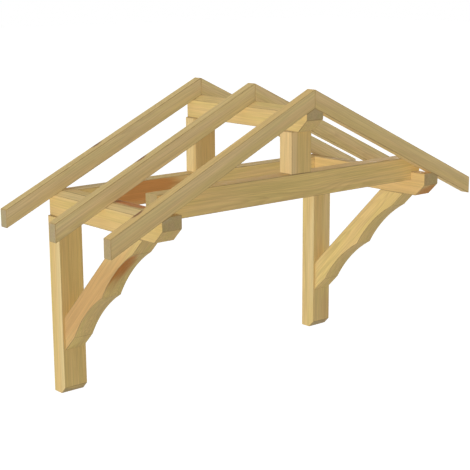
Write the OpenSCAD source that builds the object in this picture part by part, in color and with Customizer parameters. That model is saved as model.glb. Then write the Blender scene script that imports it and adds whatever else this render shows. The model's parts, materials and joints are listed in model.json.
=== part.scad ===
// Timber porch canopy: a small open gable roof frame carried on two short wall posts with
// double-scalloped braces. +X right, -Y out from the wall, +Z up, millimetres.
// The origin lies on the wall plane, at the middle of the back tie's wall face.

/* [Overall] */
// Distance between the centre lines of the two wall posts
post_centres = 1600; // [1200:10:2400]
// How far the frame stands out from the wall
depth = 850; // [650:10:1200]
// Slope of both roof sides, degrees
roof_pitch = 25; // [18:1:38]
// Rafter run past the outer face of a purlin, measured level
eave = 250; // [60:5:400]

/* [Wall posts] */
// Height of a wall post, foot to purlin seat
post_h = 840; // [720:10:1400]
// Post and king post width along the wall
post_w = 120; // [112:1:160]
// Post thickness out from the wall
post_d = 90; // [70:1:110]
// Slope cut on the front edge of a post foot
foot_cut = 32; // [10:1:45]

/* [Beams] */
// Width of purlins, ridge and braces
beam_w = 100; // [70:1:110]
// Depth of purlins and ties
beam_h = 114; // [100:1:150]
// Depth of the ridge, underside to peak
ridge_h = 108; // [104:1:130]
// Slope cut under the front end of purlins and ridge
end_cut = 55; // [20:1:60]
// Level width of the bevel on a purlin's outer top edge
bevel_run = 40; // [20:1:55]

/* [Ties] */
// Thickness of ties and king posts, front to back
tie_d = 80; // [60:1:88]
// Front face of the front tie, measured back from the front ends
tie_set = 85; // [60:1:180]
// Depth by which the front tie hangs below the purlin tops
tie_lap = 38; // [15:1:60]

/* [Rafters] */
// Rafter thickness
rafter_t = 50; // [38:1:58]
// Rafter depth, square to the slope
rafter_d = 75; // [60:1:120]

/* [Braces] */
// Length of the brace along the post and along the purlin
brace_leg = 625; // [450:5:660]
// Brace width before shaping
brace_w = 110; // [80:1:130]
// Straight length at each end of the shaped edge
brace_flat = 110; // [70:1:160]
// Depth of each hollow in the shaped edge
scallop = 22; // [8:1:32]

/* [Hidden] */
slope = tan(roof_pitch);
half = post_centres / 2;
purlin_in = half - beam_w / 2;
purlin_out = half + beam_w / 2;
eave_x = purlin_out + eave;
// levels
z_seat = -beam_h / 2;
z_foot = z_seat - post_h;
z_flat = z_seat + beam_h;
bevel_x = purlin_out - bevel_run;
z_under = z_flat + bevel_x * slope;
rafter_v = rafter_d / cos(roof_pitch);
z_ridge = z_under - ridge_h;
z_tie = z_flat - tie_lap;
// rafters: back pair on the wall plane, front pair flush with the front ends
rafter_step = (depth - rafter_t) / 2;
// brace kept clear of the purlin's end cut and of the post foot
leg = min(brace_leg, depth - post_d - end_cut - 20, post_h - foot_cut - 40);
brace_back = leg - brace_w * sqrt(2);
edge_len = leg * sqrt(2);
chord = edge_len / 2 - brace_flat;
scallop_r = (chord * chord / 4 + scallop * scallop) / (2 * scallop);
$fn = 240;

// side profile drawn as (out from wall, height), swept between x0 and x0 + w
module sweep_x(x0, w) {
    translate([x0 + w, 0, 0]) rotate([90, 0, -90]) linear_extrude(height = w) children();
}

// front profile drawn as (x, height), swept from y0 outward by d
module sweep_y(y0, d) {
    translate([0, y0, 0]) rotate([90, 0, 0]) linear_extrude(height = d) children();
}

// wedge removed by a 45 degree cut on a lower front edge at (out, z)
module low_wedge(x0, w, out, z, cut) {
    sweep_x(x0 - 1, w + 2)
        polygon([[out - cut - 2, z - 2], [out + 2, z - 2], [out + 2, z + cut + 2]]);
}

// wall post: plain, with a sloped cut on the front of its foot
module wall_post(s) {
    x0 = s * half - post_w / 2;
    difference() {
        translate([x0, -post_d, z_foot]) cube([post_w, post_d, post_h]);
        low_wedge(x0, post_w, post_d, z_foot, foot_cut);
    }
}

// side purlin: flat top with the outer edge bevelled to the roof slope, front end cut below
module purlin(s) {
    difference() {
        sweep_y(0, depth)
            polygon([[s * purlin_in, z_seat], [s * purlin_out, z_seat],
                     [s * purlin_out, z_flat - bevel_run * slope],
                     [s * bevel_x, z_flat], [s * purlin_in, z_flat]]);
        low_wedge(s * half - beam_w / 2, beam_w, depth, z_seat, end_cut);
    }
}

// brace: 45 degree strut with two hollows meeting in a point on its lower edge
module brace(s) {
    x0 = s * half - beam_w / 2;
    difference() {
        sweep_x(x0, beam_w)
            polygon([[post_d, z_seat - leg], [post_d + leg, z_seat],
                     [post_d + brace_back, z_seat], [post_d, z_seat - brace_back]]);
        for (k = [-1, 1]) {
            along = edge_len / 2 + k * chord / 2;
            off = scallop_r - scallop;
            sweep_x(x0 - 1, beam_w + 2)
                translate([post_d + (along + off) / sqrt(2),
                           z_seat - leg + (along - off) / sqrt(2)])
                    circle(r = scallop_r);
        }
    }
}

// back tie: between the purlins on the wall plane, its ends standing on the post tops
module tie_back() {
    translate([-purlin_in, -tie_d, z_seat]) cube([2 * purlin_in, tie_d, beam_h]);
}

// front tie: notched over both purlins, ends level with the start of the purlin bevels
module tie_front() {
    y0 = -(depth - tie_set);
    difference() {
        translate([-bevel_x, y0, z_tie]) cube([2 * bevel_x, tie_d, beam_h]);
        for (s = [-1, 1])
            translate([s * (purlin_in + beam_w / 2) - beam_w / 2, y0 - 1, z_tie - 1])
                cube([beam_w, tie_d + 2, tie_lap + 1]);
    }
}

// king post from a tie up to the ridge, front face at y0
module king(y0, z0) {
    translate([-post_w / 2, y0, z0]) cube([post_w, tie_d, z_ridge - z0]);
}

// ridge beam: peaked to both roof slopes, front end cut below like the purlins
module ridge_beam() {
    z_side = z_under - beam_w / 2 * slope;
    difference() {
        sweep_y(0, depth)
            polygon([[-beam_w / 2, z_ridge], [beam_w / 2, z_ridge], [beam_w / 2, z_side],
                     [0, z_under], [-beam_w / 2, z_side]]);
        low_wedge(-beam_w / 2, beam_w, depth, z_ridge, end_cut);
    }
}

// rafter: plumb cut at the eave and mitred against its partner above the ridge
module rafter(s, k) {
    sweep_y(-k * rafter_step, rafter_t)
        polygon([[0, z_under], [0, z_under + rafter_v],
                 [s * eave_x, z_under + rafter_v - eave_x * slope],
                 [s * eave_x, z_under - eave_x * slope]]);
}

module wall_post_l() { color([0.80, 0.68, 0.44]) wall_post(-1); }
module wall_post_r() { color([0.80, 0.68, 0.44]) wall_post(1); }
module purlin_l() { color([0.84, 0.72, 0.46]) purlin(-1); }
module purlin_r() { color([0.84, 0.72, 0.46]) purlin(1); }
module brace_l() { color([0.82, 0.66, 0.42]) brace(-1); }
module brace_r() { color([0.82, 0.66, 0.42]) brace(1); }
module back_tie() { color([0.72, 0.58, 0.36]) tie_back(); }
module front_tie() { color([0.72, 0.60, 0.37]) tie_front(); }
module back_king() { color([0.78, 0.65, 0.42]) king(-tie_d, z_flat); }
module front_king() { color([0.78, 0.65, 0.42]) king(-(depth - tie_set), z_tie + beam_h); }
module ridge() { color([0.84, 0.72, 0.46]) ridge_beam(); }
module rafter_back_l() { color([0.76, 0.65, 0.42]) rafter(-1, 0); }
module rafter_back_r() { color([0.76, 0.65, 0.42]) rafter(1, 0); }
module rafter_mid_l() { color([0.76, 0.65, 0.42]) rafter(-1, 1); }
module rafter_mid_r() { color([0.76, 0.65, 0.42]) rafter(1, 1); }
module rafter_front_l() { color([0.76, 0.65, 0.42]) rafter(-1, 2); }
module rafter_front_r() { color([0.76, 0.65, 0.42]) rafter(1, 2); }

wall_post_l();
wall_post_r();
purlin_l();
purlin_r();
brace_l();
brace_r();
back_tie();
front_tie();
back_king();
front_king();
ridge();
rafter_back_l();
rafter_back_r();
rafter_mid_l();
rafter_mid_r();
rafter_front_l();
rafter_front_r();
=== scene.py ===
# %% [markdown]
# # A timber porch canopy, dressed in pine
# The frame is seventeen squared timbers: wall posts, braces, purlins, ties, king posts, a ridge and
# rafters. Their shapes come finished from the imported model, so this lesson is about light and wood.
# We load the frame first.

# %% Load the frame
import json
import math
from collections import namedtuple

import bpy
from mathutils import Matrix, Vector


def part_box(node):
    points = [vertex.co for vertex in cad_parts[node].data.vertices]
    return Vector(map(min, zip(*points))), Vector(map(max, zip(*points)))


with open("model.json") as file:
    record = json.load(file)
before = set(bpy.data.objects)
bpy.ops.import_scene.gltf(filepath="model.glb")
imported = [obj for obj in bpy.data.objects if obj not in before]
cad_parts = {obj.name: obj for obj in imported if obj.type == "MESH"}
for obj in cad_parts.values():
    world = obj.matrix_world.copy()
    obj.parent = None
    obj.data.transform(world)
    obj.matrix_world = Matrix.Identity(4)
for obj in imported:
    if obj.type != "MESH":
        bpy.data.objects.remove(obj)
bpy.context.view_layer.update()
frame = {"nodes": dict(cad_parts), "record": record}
timbers = frame["nodes"]
scene = bpy.context.scene

# %% [markdown]
# ## The camera
# The picture looks at the left front corner from a little above. A long lens keeps the rafters nearly
# parallel. We could drag a camera by eye, but the angles below were worked out from the timbers' edges,
# so they are simply written down. The picture is a cut from a wider one: the lens points right of its
# middle, which is what a small sideways shift gives.

# %% Camera
picture_px = 470
focal_px = 1174.0
lens_column_px = 265.0
sensor_mm = 36.0
view_azimuth = -41.80
view_elevation = 12.48
aim = Vector((0.0, -0.518, -0.192))
camera_distance = 5.55


def direction(azimuth, elevation):
    """Unit vector that points from the object towards a viewer at these angles, in degrees."""
    a = math.radians(azimuth)
    e = math.radians(elevation)
    return Vector((math.sin(a) * math.cos(e), -math.cos(a) * math.cos(e), math.sin(e)))


def looking_from(towards_viewer):
    """Rotation of a camera or lamp that looks back along this direction."""
    return (-towards_viewer).to_track_quat("-Z", "Y").to_euler()


camera_data = bpy.data.cameras.new("porch_camera")
camera_data.sensor_width = sensor_mm
camera_data.lens = sensor_mm * focal_px / picture_px
camera_data.shift_x = (picture_px / 2 - lens_column_px) / picture_px
camera = bpy.data.objects.new("porch_camera", camera_data)
camera.location = aim + direction(view_azimuth, view_elevation) * camera_distance
camera.rotation_euler = looking_from(direction(view_azimuth, view_elevation))
scene.collection.objects.link(camera)
scene.camera = camera
print("camera:", round(camera_data.lens, 1), "mm lens at", [round(v, 2) for v in camera.location])

# %% [markdown]
# ## Two node helpers
# Light and wood are both drawn as node trees, and a tree is made of many small sums. These helpers add
# one node each and join it to what came before, so that a later line reads like a formula. A number goes
# straight on a socket, and a socket of another node is linked.

# %% Node helpers


def feed(tree, socket, value):
    """Links value if it comes from a node, and otherwise writes it on the socket."""
    if isinstance(value, bpy.types.NodeSocket):
        tree.links.new(value, socket)
    else:
        socket.default_value = value


def maths(tree, operation, a, b=0.0, c=0.0):
    """One sum of plain numbers."""
    n = tree.nodes.new("ShaderNodeMath")
    n.operation = operation
    for socket, value in zip(n.inputs, (a, b, c)):
        feed(tree, socket, value)
    return n.outputs[0]


print("helpers made: feed, maths")

# %% [markdown]
# ## The sky
# The picture's background is plain white. We could light the timbers with a white sky that strong, but
# they would wash out. So the sky has two levels: rays straight from the camera, or by way of a mirror or
# a pane, see full white, and the rays that light the wood find a weak, even grey.

# %% Sky
white = (1.0, 1.0, 1.0, 1.0)
world_level = 0.20
backdrop_level = 1.0

scene.view_settings.view_transform = "Standard"
world = bpy.data.worlds.new("studio_white")
scene.world = world
world.use_nodes = True
sky = world.node_tree
sky.nodes.clear()


def seen_directly(tree):
    """Factor that is 1 for camera, mirror and see-through rays, and 0 for the rays that light things."""
    rays = tree.nodes.new("ShaderNodeLightPath").outputs
    mirrored = maths(tree, "MAXIMUM", rays["Is Glossy Ray"], rays["Is Transmission Ray"])
    return maths(tree, "MAXIMUM", rays["Is Camera Ray"], mirrored)


def even_sky(level):
    """White sky of one strength all round."""
    n = sky.nodes.new("ShaderNodeBackground")
    n.inputs["Color"].default_value = white
    n.inputs["Strength"].default_value = level
    return n.outputs[0]


chosen = sky.nodes.new("ShaderNodeMixShader")
sky_out = sky.nodes.new("ShaderNodeOutputWorld")
sky.links.new(seen_directly(sky), chosen.inputs[0])
sky.links.new(even_sky(world_level), chosen.inputs[1])
sky.links.new(even_sky(backdrop_level), chosen.inputs[2])
sky.links.new(chosen.outputs[0], sky_out.inputs["Surface"])
print("sky: lights at", world_level, "and shows as", backdrop_level)

# %% [markdown]
# ## The lamps
# In the picture every side that faces left is equally bright, every front is about a third darker, and
# no timber throws a hard shadow on another. That is the light of a studio tent, so we build one: a strong
# lamp from the left, weaker ones from the front and from behind right, and a wide one overhead. Sun lamps
# are used, since their light is the same all over a face. Only the overhead lamp throws a shadow, a soft
# one: stripes from six rafters would hide the wood. The angles are in degrees, as for the camera.

# %% Lamps
Lamp = namedtuple("Lamp", "azimuth elevation level throws_shadow")
overhead_level = 0.24
lamp_width = 45.0
lamps = {
    "left_key": Lamp(-90.0, 0.0, 0.72, False),
    "front_fill": Lamp(0.0, 0.0, 0.33, False),
    "far_fill": Lamp(120.0, 0.0, 0.42, False),
    "overhead": Lamp(0.0, 89.0, overhead_level, True),
}

for label, lamp in lamps.items():
    light = bpy.data.lights.new(label, "SUN")
    light.energy = lamp.level * math.pi
    light.angle = math.radians(lamp_width)
    light.use_shadow = lamp.throws_shadow
    stand = bpy.data.objects.new(label, light)
    stand.rotation_euler = looking_from(direction(lamp.azimuth, lamp.elevation))
    scene.collection.objects.link(stand)
    print("lamp:", label, "level", lamp.level)

# %% [markdown]
# ## The floor
# The canopy hangs on a wall, with its post feet at about chest height, so the floor lies that far below.
# It is a plain white sheet that takes the soft shadow. A little glow, seen by the camera only, lifts the
# part in full light to the white of the backdrop, while the shadow stays.

# %% Floor sheet
foot_above_floor = 1.25
floor_half = 60.0
floor_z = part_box("wall_post_l")[0].z - foot_above_floor

signs = [(-1, -1), (1, -1), (1, 1), (-1, 1)]
corners = [(x * floor_half, y * floor_half, floor_z) for x, y in signs]
floor_mesh = bpy.data.meshes.new("floor")
floor_mesh.from_pydata(corners, [], [(0, 1, 2, 3)])
floor = bpy.data.objects.new("floor", floor_mesh)
scene.collection.objects.link(floor)
print("floor at", round(floor_z, 3))

# %% Floor finish
floor_white = 0.55
floor_glow = 1.0 - floor_white * (world_level + overhead_level)

paper = bpy.data.materials.new("white_floor")
paper.use_nodes = True
sheet = paper.node_tree
sheet.nodes.clear()
matt = sheet.nodes.new("ShaderNodeBsdfDiffuse")
matt.inputs["Color"].default_value = (floor_white, floor_white, floor_white, 1.0)
glow = sheet.nodes.new("ShaderNodeEmission")
both = sheet.nodes.new("ShaderNodeAddShader")
sheet_out = sheet.nodes.new("ShaderNodeOutputMaterial")
sheet.links.new(maths(sheet, "MULTIPLY", seen_directly(sheet), floor_glow), glow.inputs["Strength"])
sheet.links.new(matt.outputs[0], both.inputs[0])
sheet.links.new(glow.outputs[0], both.inputs[1])
sheet.links.new(both.outputs[0], sheet_out.inputs["Surface"])
floor_mesh.materials.append(paper)
print("floor glow:", round(floor_glow, 3))

# %% [markdown]
# ## Which way the grain runs
# In every timber the grain runs along its length, up a post and down a rafter. A texture that ignores
# this looks like printed paper. So each timber gets a frame of its own: the first axis along the grain,
# the other two across it. The rafters' slope is read from the record's roof face, not typed again.

# %% Grain frames
roof_face = next(m for m in frame["record"]["mounts"] if m["name"] == "roof_slope_r")
roof_normal = Vector(roof_face["axis"]).normalized()
down_right = Vector((roof_normal.z, 0.0, -roof_normal.x))
down_left = Vector((-roof_normal.z, 0.0, -roof_normal.x))
right = Vector((1.0, 0.0, 0.0))
outward = Vector((0.0, -1.0, 0.0))
upward = Vector((0.0, 0.0, 1.0))
leftward = -right
downward = -upward


def grain_axes(name):
    """(along the grain, one way across it) for a timber, from what it is called."""
    if name.startswith("rafter"):
        return (down_left, outward) if name.endswith("_l") else (down_right, -outward)
    if name.startswith("brace"):
        return (outward + upward).normalized(), right
    if name.endswith("tie"):
        return right, -outward
    if name.startswith("purlin") or name == "ridge":
        return outward, right
    return upward, right


def grain_frame(name):
    """Rotation whose columns are the timber's grain axes."""
    along, across = grain_axes(name)
    return Matrix((along, across, along.cross(across))).transposed()


print("pitch:", round(math.degrees(math.atan2(roof_normal.x, roof_normal.z)), 2), "degrees")

# %% [markdown]
# ## Helpers for wood
# Wood also needs sums of places, clouds of noise, soft steps and mixed colours, so here is one helper for
# each. A figure that every timber shares, such as the rings, is made once as a node group, and the other
# two helpers make such a group and use it. That keeps the seventeen materials short.

# %% Place, noise and colour helpers


def vector(tree, operation, a, b=(0.0, 0.0, 0.0)):
    """One sum of places or directions."""
    n = tree.nodes.new("ShaderNodeVectorMath")
    n.operation = operation
    feed(tree, n.inputs[0], a)
    feed(tree, n.inputs[1], b)
    return n.outputs["Value"] if operation in ("DOT_PRODUCT", "LENGTH") else n.outputs["Vector"]


def noise(tree, place, stretch, detail=2.0):
    """Cloudy value from 0 to 1; stretch gives how many clouds a metre along each axis."""
    n = tree.nodes.new("ShaderNodeTexNoise")
    feed(tree, n.inputs["Vector"], vector(tree, "MULTIPLY", place, stretch))
    n.inputs["Scale"].default_value = 1.0
    n.inputs["Detail"].default_value = detail
    return n.outputs[0]


def ease(tree, value, start, end, low=0.0, high=1.0):
    """Soft step from low at start to high at end."""
    n = tree.nodes.new("ShaderNodeMapRange")
    n.interpolation_type = "SMOOTHSTEP"
    for socket, v in zip(n.inputs, (value, start, end, low, high)):
        feed(tree, socket, v)
    return n.outputs[0]


def blend(tree, factor, a, b, mode="MIX"):
    """Colour a with b laid over it. The Mix node's colours are its sockets 6 and 7."""
    n = tree.nodes.new("ShaderNodeMix")
    n.data_type = "RGBA"
    n.blend_type = mode
    feed(tree, n.inputs[0], factor)
    feed(tree, n.inputs[6], a)
    feed(tree, n.inputs[7], b)
    return n.outputs[2]


print("helpers made: vector, noise, ease, blend")

# %% Group helpers
FLOAT = "NodeSocketFloat"
VECTOR = "NodeSocketVector"


def group(name, inputs, outputs):
    """New node group with these sockets; returns the tree, its inputs by name and its output node."""
    tree = bpy.data.node_groups.new(name, "ShaderNodeTree")
    for label, kind in inputs:
        tree.interface.new_socket(label, in_out="INPUT", socket_type=kind)
    for label in outputs:
        tree.interface.new_socket(label, in_out="OUTPUT", socket_type=FLOAT)
    start = tree.nodes.new("NodeGroupInput")
    return tree, start.outputs, tree.nodes.new("NodeGroupOutput")


def use(tree, made, **values):
    """Places a node group in a tree and feeds its sockets by name."""
    n = tree.nodes.new("ShaderNodeGroup")
    n.node_tree = made
    for label, value in values.items():
        feed(tree, n.inputs[label], value)
    return n.outputs


print("helpers made: group, use")

# %% [markdown]
# ## Growth rings
# A beam is cut out of a trunk, so its figure is a stack of rings round the trunk's middle, the pith.
# We could stretch a noise along the beam, but then the ends would show stripes and not arcs. Here the
# distance from the pith, made uneven by slow noise, is cut into rings a few millimetres wide. The sides
# then show long lines and flames, and the ends show arcs, all from the same sum.

# %% Ring distance
across_only = (0.0, 1.0, 1.0)
sweep_stretch = (0.9, 5.0, 5.0)
sweep_size = 0.07
ripple_stretch = (4.0, 45.0, 45.0)
ripple_size = 0.006
noise_middle = 0.5

rings, given, made = group(
    "pine_rings",
    [("Place", VECTOR), ("Seed", FLOAT), ("Push", FLOAT), ("Ring", FLOAT)],
    ["Late", "Tone", "Streak", "Fibre"],
)


def wander(tree, place, stretch, size):
    """Noise about zero, in metres, up to half of size either way."""
    cloud = noise(tree, place, stretch)
    return maths(tree, "MULTIPLY", maths(tree, "SUBTRACT", cloud, noise_middle), size)


shift = rings.nodes.new("ShaderNodeCombineXYZ")
rings.links.new(given["Seed"], shift.inputs[0])
moved = vector(rings, "ADD", given["Place"], shift.outputs[0])
radius = vector(rings, "LENGTH", vector(rings, "MULTIPLY", given["Place"], across_only))
bent = maths(rings, "ADD", radius, wander(rings, moved, sweep_stretch, sweep_size))
pushed = maths(rings, "SUBTRACT", wander(rings, moved, ripple_stretch, ripple_size), given["Push"])
count = maths(rings, "DIVIDE", maths(rings, "ADD", bent, pushed), given["Ring"])
print("ring distance:", len(rings.nodes), "nodes")

# %% [markdown]
# Within a ring the wood darkens slowly through the summer and stops short at the winter. Some years are
# stronger than others, so each ring draws a strength of its own. Three more noises, each finer than the
# last, run along the grain: a slow drift of tone, streaks and single fibres.

# %% Ring figure
summer_rise = (0.30, 0.90)
winter_fall = (0.93, 1.0)
weakest_year = 0.5
tone_stretch = (2.6, 28.0, 28.0)
streak_stretch = (3.2, 150.0, 150.0)
fibre_stretch = (12.0, 420.0, 420.0)

year = maths(rings, "FLOOR", count)
season = maths(rings, "SUBTRACT", count, year)
chance = rings.nodes.new("ShaderNodeTexWhiteNoise")
chance.noise_dimensions = "1D"
rings.links.new(maths(rings, "ADD", year, given["Seed"]), chance.inputs["W"])
strength = maths(rings, "MULTIPLY_ADD", chance.outputs["Value"], 1.0 - weakest_year, weakest_year)
growth = ease(rings, season, *summer_rise)
summer = maths(rings, "MULTIPLY", growth, ease(rings, season, *winter_fall, 1.0, 0.0))
rings.links.new(maths(rings, "MULTIPLY", summer, strength), made.inputs["Late"])
rings.links.new(noise(rings, moved, tone_stretch, detail=3.0), made.inputs["Tone"])
rings.links.new(noise(rings, moved, streak_stretch, detail=3.0), made.inputs["Streak"])
rings.links.new(noise(rings, moved, fibre_stretch), made.inputs["Fibre"])
print("ring figure:", len(rings.nodes), "nodes")

# %% [markdown]
# ## Knots
# A knot is the foot of a branch: a rod that starts at the pith and grows outward through the rings. On a
# face it shows as a brown eye, and the rings swing round it. A painted spot would sit on one face only;
# this rod appears wherever the saw cut across it. The group gives a mask for the wood of the knot, one
# for its dark rim, and a push for the rings beside it. The edges below are in knot radii, and the start
# at the pith is in metres.

# %% Knot figure
lump_stretch = (60.0, 60.0, 60.0)
lump_size = 0.5
least_lump = 0.75
pith_start = (-0.005, 0.01)
eye_edge = (1.0, 0.75)
rim_edge = (0.55, 0.95)
swing_edge = (3.5, 0.6)

knots, given, made = group(
    "pine_knot",
    [("Place", VECTOR), ("Start", VECTOR), ("Branch", VECTOR), ("Radius", FLOAT)],
    ["Eye", "Rim", "Push"],
)
off = vector(knots, "SUBTRACT", given["Place"], given["Start"])
length = vector(knots, "DOT_PRODUCT", off, given["Branch"])
foot = knots.nodes.new("ShaderNodeVectorMath")
foot.operation = "SCALE"
knots.links.new(given["Branch"], foot.inputs[0])
knots.links.new(length, foot.inputs["Scale"])
aside = vector(knots, "LENGTH", vector(knots, "SUBTRACT", off, foot.outputs["Vector"]))
lumps = noise(knots, given["Place"], lump_stretch)
rough = maths(knots, "MULTIPLY_ADD", lumps, lump_size, least_lump)
share = maths(knots, "DIVIDE", maths(knots, "MULTIPLY", aside, rough), given["Radius"])
outgoing = ease(knots, length, *pith_start)
eye = maths(knots, "MULTIPLY", ease(knots, share, *eye_edge), outgoing)
rim = maths(knots, "MULTIPLY", ease(knots, share, *rim_edge), eye)
swing = maths(knots, "MULTIPLY", ease(knots, share, *swing_edge), outgoing)
knots.links.new(eye, made.inputs["Eye"])
knots.links.new(rim, made.inputs["Rim"])
knots.links.new(maths(knots, "MULTIPLY", swing, given["Radius"]), made.inputs["Push"])
print("knot figure:", len(knots.nodes), "nodes")

# %% [markdown]
# ## Heart and sap
# Near the pith pine turns from straw to red-brown, and near the bark it is almost cream. Where a saw cut
# runs through either, the face carries a soft-edged tongue of that colour along the grain. Painting it
# would need an unwrapped mesh, so here a patch is an ellipsoid in the timber's own frame. Its edge is
# broken by noise that is stretched along the grain.

# %% Patch figure
fray_stretch = (4.0, 30.0, 30.0)
fray_size = 0.8
patch_edge = (1.05, 0.45)

patches, given, made = group(
    "pine_patch", [("Place", VECTOR), ("Centre", VECTOR), ("Reach", VECTOR)], ["Cover"]
)
from_centre = vector(patches, "SUBTRACT", given["Place"], given["Centre"])
in_reaches = vector(patches, "LENGTH", vector(patches, "DIVIDE", from_centre, given["Reach"]))
cloud = noise(patches, given["Place"], fray_stretch, detail=3.0)
frayed = maths(patches, "MULTIPLY_ADD", cloud, fray_size, -fray_size / 2)
far = maths(patches, "ADD", in_reaches, frayed)
patches.links.new(ease(patches, far, *patch_edge), made.inputs["Cover"])
print("patch figure:", len(patches.nodes), "nodes")

# %% [markdown]
# ## Where the figure sits in a timber
# No two timbers were cut from the same place in a trunk. One shared material would be shorter, but then
# neighbours would show the same rings, so each timber gets its own. Its pith lies a little beside it, and
# the Mapping node turns every point into the grain frame round that pith. The knots come first, since the
# rings have to know how far to swing.

# %% Grain place and knots
Knot = namedtuple("Knot", "along turn radius")
branch_lean = 0.15
ring_width = 0.0042


def grain_place(tree, name, pith):
    """Each point's place in the timber's grain frame, in metres from its pith."""
    coords = tree.nodes.new("ShaderNodeTexCoord")
    turn = tree.nodes.new("ShaderNodeMapping")
    turn.vector_type = "TEXTURE"
    turn.inputs["Location"].default_value = pith
    turn.inputs["Rotation"].default_value = grain_frame(name).to_euler()
    tree.links.new(coords.outputs["Object"], turn.inputs["Vector"])
    return turn.outputs["Vector"]


def grown_knots(tree, place, knot_list):
    """The timber's knots, and how far they push its rings aside."""
    eyes = []
    push = 0.0
    for knot in knot_list:
        angle = math.radians(knot.turn)
        branch = Vector((branch_lean, math.cos(angle), math.sin(angle))).normalized()
        start = (knot.along, 0.0, 0.0)
        eye = use(tree, knots, Place=place, Start=start, Branch=branch, Radius=knot.radius)
        push = maths(tree, "ADD", push, eye["Push"])
        eyes.append(eye)
    return eyes, push


print("rings are", ring_width * 1000, "mm wide")

# %% [markdown]
# ## The colours of pine
# The colour is built up as the wood is: pale early wood, darker late wood and a slow drift between olive
# and rose, then heart and sap stains, then brown knots. One ramp of mixed colours would be quicker, but in
# layers each can be set by itself. A stain may be kept to the faces that look one way, as where the saw
# only just met the heart: the face's normal then fades it out on the other sides.

# %% Pine colours
pale_straw = (0.695, 0.508, 0.209, 1.0)
ring_brown = (0.565, 0.390, 0.155, 1.0)
late_brown = (0.545, 0.355, 0.127, 1.0)
olive_drift = (0.985, 1.00, 0.94, 1.0)
rosy_drift = (1.015, 0.985, 1.02, 1.0)
heart_red = (0.490, 0.190, 0.047, 1.0)
# cream of the sap wood; also laid as painted light on the back tie's top
sap_cream_and_painted_light = (0.750, 0.590, 0.310, 1.0)
rosy_tan = (0.600, 0.360, 0.148, 1.0)
warm_top_tan = (0.720, 0.490, 0.175, 1.0)
dark_streak = (0.400, 0.250, 0.075, 1.0)
knot_brown = (0.270, 0.130, 0.055, 1.0)
knot_rim = (0.120, 0.060, 0.030, 1.0)
print("early wood", pale_straw[:3], "late wood", ring_brown[:3])

# %% Rings, stains and knots in colour
Stain = namedtuple("Stain", "colour centre reach strength side", defaults=[None])
late_strength = 0.6
tone_band = (0.36, 0.64)
side_band = (0.4, 0.6)
eye_strength = 0.75
rim_strength = 0.6


def ring_colour(tree, figure):
    """Early and late wood, with a slow drift of hue."""
    late = maths(tree, "MULTIPLY", figure["Late"], late_strength)
    colour = blend(tree, late, pale_straw, ring_brown)
    drift = blend(tree, ease(tree, figure["Tone"], *tone_band), olive_drift, rosy_drift)
    return blend(tree, 1.0, colour, drift, "MULTIPLY")


def stained(tree, colour, place, spread, normal, stain_list):
    """Colour with the timber's stains, and the painted light among them, laid over it one after another.
    """
    for stain in stain_list:
        centre = Vector(stain.centre) - spread
        patch = use(tree, patches, Place=place, Centre=centre, Reach=stain.reach)
        cover = maths(tree, "MULTIPLY", patch["Cover"], stain.strength)
        if stain.side is not None:
            facing = vector(tree, "DOT_PRODUCT", normal, stain.side)
            cover = maths(tree, "MULTIPLY", cover, ease(tree, facing, *side_band))
        colour = blend(tree, cover, colour, stain.colour)
    return colour


def knotted(tree, colour, eyes):
    """Colour with the brown wood and the dark rim of each knot."""
    for eye in eyes:
        colour = blend(tree, maths(tree, "MULTIPLY", eye["Eye"], eye_strength), colour, knot_brown)
        colour = blend(tree, maths(tree, "MULTIPLY", eye["Rim"], rim_strength), colour, knot_rim)
    return colour


print("a stain is", ", ".join(Stain._fields))

# %% [markdown]
# ## Ends, fibres and gloss
# Cut ends drink more light than sides, so they are darkened by how squarely a face cuts the grain. The
# sloped cut at the foot of a wall post counts as an end too, so the band for posts starts lower. Fibres
# and streaks then lighten and darken the wood by a few parts in a hundred. Roughness and a shallow bump
# follow the same figure, since the hard late wood of a planed face stands proud and takes more polish.

# %% End grain and fibres
end_shade = (0.66, 0.68, 0.80, 1.0)
end_band = (0.74, 0.90)
foot_band = (0.50, 0.70)
fibre_band = (0.2, 0.8)
fibre_shade = (0.95, 1.05)
streak_band = (0.3, 0.7)
streak_shade = (0.915, 1.085)


def end_darkened(tree, name, colour, normal):
    """Colour with the faces that cut the grain squarely made darker."""
    along = grain_axes(name)[0]
    square_cut = maths(tree, "ABSOLUTE", vector(tree, "DOT_PRODUCT", normal, along))
    band = foot_band if name.startswith("wall_post") else end_band
    shaded = blend(tree, 1.0, colour, end_shade, "MULTIPLY")
    return blend(tree, ease(tree, square_cut, *band), colour, shaded)


def streaked(tree, colour, figure):
    """Colour with fine lighter and darker lines along the grain."""
    fibre = ease(tree, figure["Fibre"], *fibre_band, *fibre_shade)
    streak = ease(tree, figure["Streak"], *streak_band, *streak_shade)
    shade = maths(tree, "MULTIPLY", fibre, streak)
    grey = tree.nodes.new("ShaderNodeCombineColor")
    for socket in grey.inputs:
        tree.links.new(shade, socket)
    return blend(tree, 1.0, colour, grey.outputs[0], "MULTIPLY")


print("streaks vary by", round(streak_shade[1] - streak_shade[0], 3))

# %% Pine material
wood_gloss = 0.10
early_rough = 0.68
late_rough = 0.52
fibre_height = 0.6
relief_strength = 0.25
relief_depth = 0.0008


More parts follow.
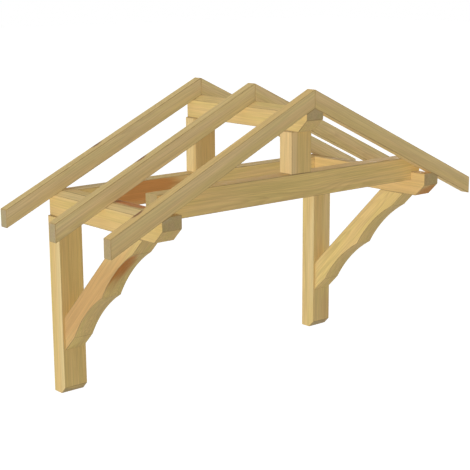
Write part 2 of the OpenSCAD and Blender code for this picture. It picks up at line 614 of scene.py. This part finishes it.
def wood_surface(tree, colour, figure):
    """Shader of planed wood whose roughness and relief follow the rings."""
    surface = tree.nodes.new("ShaderNodeBsdfPrincipled")
    surface.inputs["Specular IOR Level"].default_value = wood_gloss
    tree.links.new(colour, surface.inputs["Base Color"])
    polish = ease(tree, figure["Late"], 0.0, 1.0, early_rough, late_rough)
    tree.links.new(polish, surface.inputs["Roughness"])
    fibres = maths(tree, "MULTIPLY", figure["Fibre"], fibre_height)
    relief = tree.nodes.new("ShaderNodeBump")
    relief.inputs["Strength"].default_value = relief_strength
    relief.inputs["Distance"].default_value = relief_depth
    tree.links.new(maths(tree, "ADD", figure["Late"], fibres), relief.inputs["Height"])
    tree.links.new(relief.outputs[0], surface.inputs["Normal"])
    return surface.outputs[0]


def pine(name, tint, seed, pith, spread, knot_list, stain_list):
    """Material for one timber; spread is where its pith lies beside its middle, in the grain frame."""
    material = bpy.data.materials.new("pine_" + name)
    material.use_nodes = True
    tree = material.node_tree
    tree.nodes.clear()
    normal = tree.nodes.new("ShaderNodeNewGeometry").outputs["Normal"]
    place = grain_place(tree, name, pith)
    eyes, push = grown_knots(tree, place, knot_list)
    figure = use(tree, rings, Place=place, Seed=seed, Push=push, Ring=ring_width)
    colour = ring_colour(tree, figure)
    colour = stained(tree, colour, place, spread, normal, stain_list)
    colour = knotted(tree, colour, eyes)
    colour = blend(tree, 1.0, colour, (*tint, 1.0), "MULTIPLY")
    colour = end_darkened(tree, name, colour, normal)
    colour = streaked(tree, colour, figure)
    out = tree.nodes.new("ShaderNodeOutputMaterial")
    tree.links.new(wood_surface(tree, colour, figure), out.inputs["Surface"])
    return material


print("roughness from", late_rough, "on late wood to", early_rough, "on early wood")

# %% [markdown]
# ## Tints and knots
# The timbers of a frame come from several trees, so most get a small tint: the left post is a touch
# paler. The rafters behind the front pair are painted a little greyer, to cancel the warm light that the
# timbers round them bounce onto them. A tint goes to every timber whose name starts with its key, and the
# first key that fits counts. The larger knots are listed: how far along from the timber's middle, which
# way the branch grew round the pith, and its radius. Lengths are in metres and turns in degrees.

# %% Tints and knots
tints = {
    "wall_post_l": (1.03, 1.04, 1.03),
    "wall_post_r": (0.975, 1.00, 1.01),
    "front_king": (0.985, 0.96, 0.965),
    "back_tie": (1.00, 1.01, 1.03),
    "front_tie": (1.00, 1.00, 0.97),
    "purlin": (1.00, 1.00, 0.98),
    "ridge": (1.00, 1.02, 1.05),
    "brace": (1.00, 1.01, 0.99),
    "rafter_front": (1.00, 1.02, 1.12),
    # painted light: the inner rafters are greyed to cancel warm light bounced onto them
    "rafter": (0.965, 1.035, 1.22),
}
plain_tint = (1.00, 1.00, 1.00)
knot_places = {
    "brace_l": [Knot(-0.16, 190.0, 0.007)],
    "wall_post_l": [Knot(0.22, -60.0, 0.009)],
    "wall_post_r": [Knot(-0.22, -80.0, 0.008)],
    "front_tie": [Knot(0.28, -95.0, 0.008)],
    "back_tie": [Knot(-0.42, 185.0, 0.010)],
    "rafter_front_r": [Knot(-0.15, 190.0, 0.007)],
}


def timber_tint(name):
    """The first tint whose key starts the timber's name."""
    return next((tints[start] for start in tints if name.startswith(start)), plain_tint)


print("tints:", len(tints), "timbers with a knot:", len(knot_places))

# %% [markdown]
# ## Stains, placed one by one
# The left brace is the reddest, with heart along its hollows and a rosy band up its side. The purlins
# and the back tie have heart as well, posts and king posts show cream sap, and each left rafter carries
# a small dark mark on its top edge. The back tie's top is lightened with the same cream: that is painted
# light, where the rafters' shadow falls on it. The whole top of the front tie is made browner. We could
# scatter such stains by chance, but on a frame with so few timbers each one is noticed, so each is
# placed. Its middle and its reach are in metres, along the grain and then twice across it, and the
# middle is measured from the timber's own.

# %% Stains
rafter_top = 0.0375
stains_and_painted_light = {
    "back_tie": [
        Stain(heart_red, (-0.37, -0.04, 0.01), (0.28, 0.035, 0.105), 0.85, outward),
        # painted light: lifts the tie's top where the rafters' shadow falls on it
        Stain(sap_cream_and_painted_light, (-0.55, 0.0, 0.057), (0.30, 0.20, 0.03), 0.8, upward),
    ],
    "front_tie": [
        # the whole top of the front tie is made browner
        Stain(late_brown, (0.40, 0.0, 0.057), (1.6, 0.2, 0.03), 0.8, upward),
    ],
    "brace_l": [
        Stain(late_brown, (0.14, -0.050, 0.020), (0.19, 0.085, 0.040), 0.7, downward),
        Stain(heart_red, (0.210, -0.050, 0.022), (0.17, 0.085, 0.040), 0.95, downward),
        Stain(rosy_tan, (-0.13, -0.068, 0.05), (0.58, 0.045, 0.3), 0.95, leftward),
    ],
    "purlin_r": [
        Stain(heart_red, (0.41, 0.02, -0.05), (0.10, 0.10, 0.06), 0.75, downward),
        Stain(rosy_tan, (0.0, -0.05, 0.0), (0.7, 0.04, 0.2), 0.4),
        Stain(dark_streak, (-0.22, 0.0, 0.057), (0.36, 0.050, 0.02), 0.9),
    ],
    "purlin_l": [
        Stain(dark_streak, (0.11, 0.02, 0.057), (0.20, 0.06, 0.03), 0.6, upward),
        Stain(heart_red, (0.11, 0.028, 0.057), (0.16, 0.045, 0.02), 1.0),
        Stain(sap_cream_and_painted_light, (0.0, -0.035, 0.055), (0.8, 0.05, 0.03), 0.6),
    ],
    "rafter_back_l": [
        Stain(knot_brown, (0.03, -0.025, rafter_top), (0.045, 0.024, 0.03), 1.0, upward),
    ],
    "rafter_mid_l": [
        Stain(knot_brown, (0.07, -0.025, rafter_top), (0.045, 0.024, 0.03), 1.0, upward),
    ],
    "rafter_front_l": [
        Stain(knot_brown, (0.413, -0.023, rafter_top), (0.040, 0.018, 0.03), 1.0, upward),
    ],
    "back_king": [
        Stain(sap_cream_and_painted_light, (0.0, -0.06, 0.0), (0.6, 0.04, 0.2), 0.5),
        Stain(late_brown, (0.0, 0.0, -0.045), (0.6, 0.2, 0.04), 0.7),
    ],
    "front_king": [
        Stain(sap_cream_and_painted_light, (0.0, -0.06, 0.0), (0.6, 0.04, 0.2), 0.5),
    ],
    "wall_post_l": [
        Stain(late_brown, (0.1, 0.01, -0.045), (0.7, 0.2, 0.04), 0.4, outward),
        Stain(sap_cream_and_painted_light, (0.0, -0.06, -0.05), (1.0, 0.2, 0.055), 0.6, leftward),
    ],
    "wall_post_r": [
        Stain(sap_cream_and_painted_light, (-0.02, -0.06, -0.05), (0.38, 0.2, 0.07), 0.5, leftward),
        Stain(sap_cream_and_painted_light, (0.20, 0.06, -0.045), (0.35, 0.07, 0.2), 0.5, outward),
        Stain(rosy_tan, (-0.33, 0.04, -0.045), (0.12, 0.05, 0.2), 0.4, outward),
    ],
}
print("stains:", sum(len(stains) for stains in stains_and_painted_light.values()), "on", len(stains_and_painted_light), "timbers")

# %% [markdown]
# All rafters share three stains that run their whole length: the tops are made a warmer tan, and of
# the front faces the upper half is a touch paler and the lower half a touch browner. They go on first, so
# that a rafter's own mark lies over them.

# %% Rafter stains
rafter_stains = [
    Stain(warm_top_tan, (0.0, 0.0, 0.045), (4.0, 0.3, 0.03), 0.7, upward),
    Stain(sap_cream_and_painted_light, (0.0, 0.025, 0.035), (4.0, 0.3, 0.05), 0.16, outward),
    Stain(late_brown, (0.0, 0.025, -0.035), (4.0, 0.3, 0.05), 0.18, outward),
]


def timber_stains(name):
    """All stains of a timber, with the painted light among them, in the order in which they are laid."""
    shared = rafter_stains if name.startswith("rafter") else []
    return shared + stains_and_painted_light.get(name, [])


print("rafter_back_l has", len(timber_stains("rafter_back_l")), "stains")

# %% [markdown]
# ## Dress every timber
# Where the pith lies, and so what figure shows, follows from the timber's place in the list by a turning
# angle: the angle never comes round to the same place, so no two timbers look alike. The seed slides each
# timber to a fresh stretch of noise.

# %% Wood on every timber
golden_turn = 2.4
pith_offset = 0.09
seed_step = 7.3


def pith_spread(index):
    """From a timber's middle to its pith, in the grain frame: another way across for each timber."""
    turn = golden_turn * index
    return Vector((0.0, math.cos(turn), math.sin(turn))) * pith_offset


for index, name in enumerate(sorted(timbers)):
    low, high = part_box(name)
    spread = pith_spread(index)
    pith = (low + high) / 2 + grain_frame(name) @ spread
    knot_list = knot_places.get(name, [])
    wood = pine(name, timber_tint(name), seed_step * index, pith, spread, knot_list, timber_stains(name))
    slots = timbers[name].data.materials
    slots.clear()
    slots.append(wood)
print("dressed", len(timbers), "timbers")

# %% [markdown]
# ## The eased arris
# A planed timber has its sharp corners taken off, and the narrow flat left there gathers dust and
# handling. Every edge of the frame is drawn with a fine darker line, partly that dust and partly painted
# shade that marks the edge. We could darken the wood near its edges by a mask, but a real flat also
# catches the light. The Bevel modifier cuts that flat and gives it the second material of the timber. The
# Weld before it joins the corners of the model's faces, so that there is an edge to cut. The mesh from the
# model stays as it is underneath.

# %% Arris material
# darker than the wood: dust and handling, and painted shade along every edge
arris_dust_and_shade = (0.480, 0.335, 0.138, 1.0)
arris_deep_dust_and_shade = (0.350, 0.240, 0.100, 1.0)
arris_gloss = 0.2
arris_rough = (0.62, 0.8)
dust_stretch = (9.0, 9.0, 9.0)
dust_band = (0.3, 0.7)


def arris():
    """Darker wood for the narrow flat along every edge: dust and handling, and painted shade."""
    material = bpy.data.materials.new("eased_arris")
    material.use_nodes = True
    tree = material.node_tree
    surface = tree.nodes["Principled BSDF"]
    surface.inputs["Specular IOR Level"].default_value = arris_gloss
    coords = tree.nodes.new("ShaderNodeTexCoord")
    dust = noise(tree, coords.outputs["Object"], dust_stretch, detail=4.0)
    colour = blend(tree, ease(tree, dust, *dust_band), arris_dust_and_shade, arris_deep_dust_and_shade)
    tree.links.new(colour, surface.inputs["Base Color"])
    tree.links.new(ease(tree, dust, *dust_band, *arris_rough), surface.inputs["Roughness"])
    return material


edge_wood = arris()
print("arris material:", len(edge_wood.node_tree.nodes), "nodes")

# %% Eased edges
edge_flat = 0.0024
arris_cuts = 2
arris_slot = 1
sharp_from = 12.0
weld_gap = 0.00002

for timber in timbers.values():
    timber.data.materials.append(edge_wood)
    weld = timber.modifiers.new("joined_corners", "WELD")
    weld.merge_threshold = weld_gap
    flat = timber.modifiers.new("eased_arris", "BEVEL")
    flat.width = edge_flat
    flat.segments = arris_cuts
    flat.limit_method = "ANGLE"
    flat.angle_limit = math.radians(sharp_from)
    flat.material = arris_slot
print("eased the edges by", edge_flat * 1000, "mm")
